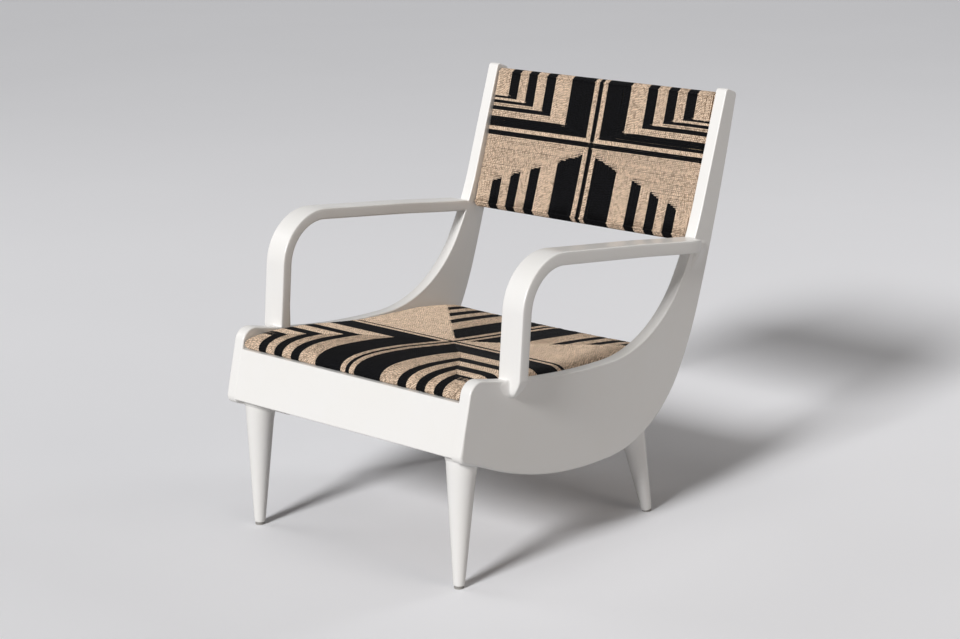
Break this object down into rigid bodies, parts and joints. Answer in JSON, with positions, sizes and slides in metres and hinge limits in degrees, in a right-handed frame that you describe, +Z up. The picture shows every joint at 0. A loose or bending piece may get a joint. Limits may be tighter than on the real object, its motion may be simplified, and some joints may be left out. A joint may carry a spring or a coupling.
{
  "type": "woven lounge armchair",
  "caption": "Low armchair with curved painted side panels, bent armrests, tapered legs, and a two-tone cord weave on the seat and back.",
  "frame": {"origin": "on the floor, in the middle of the chair's width and depth", "axes": "the chair faces -Y, +X is to its right as seen from the front, +Z is up"},
  "size_m": [0.694, 0.8214, 0.8371],
  "materials": {
    "painted_frame": "warm white satin paint over wood",
    "raw_wood": "planed, unfinished",
    "cord_natural": "twisted natural cord",
    "cord_black": "twisted black cord",
    "steel": "zinc plated",
    "glide_nylon": "grey nylon"
  },
  "bodies": {
    "root": {"side_panel_left": "painted_frame", "side_panel_right": "painted_frame", "armrest_left": "painted_frame", "armrest_right": "painted_frame", "front_apron": "painted_frame", "leg_front_left": "painted_frame", "leg_front_right": "painted_frame", "leg_rear_left": "painted_frame", "leg_rear_right": "painted_frame", "rear_stretcher": "raw_wood", "leg_block_front_left": "raw_wood", "leg_block_front_right": "raw_wood", "leg_block_rear_left": "raw_wood", "leg_block_rear_right": "raw_wood", "seat_cleat_left": "raw_wood", "seat_cleat_right": "raw_wood", "seat_rail_front": "raw_wood", "seat_rail_rear": "raw_wood", "seat_rail_left": "raw_wood", "seat_rail_right": "raw_wood", "back_rail_top": "raw_wood", "back_rail_bottom": "raw_wood", "back_stile_left": "raw_wood", "back_stile_right": "raw_wood", "apron_dowels": "raw_wood", "stretcher_dowels": "raw_wood", "arm_dowels": "raw_wood", "seat_frame_dowels": "raw_wood", "back_frame_dowels": "raw_wood", "back_mount_dowels": "raw_wood", "seat_weave_natural": "cord_natural", "back_weave_natural": "cord_natural", "seat_weave_black": "cord_black", "back_weave_black": "cord_black", "leg_bolts": "steel", "leg_inserts": "steel", "block_screws": "steel", "cleat_screws": "steel", "seat_screws": "steel", "leg_glides": "glide_nylon"}
  },
  "joints": []
}
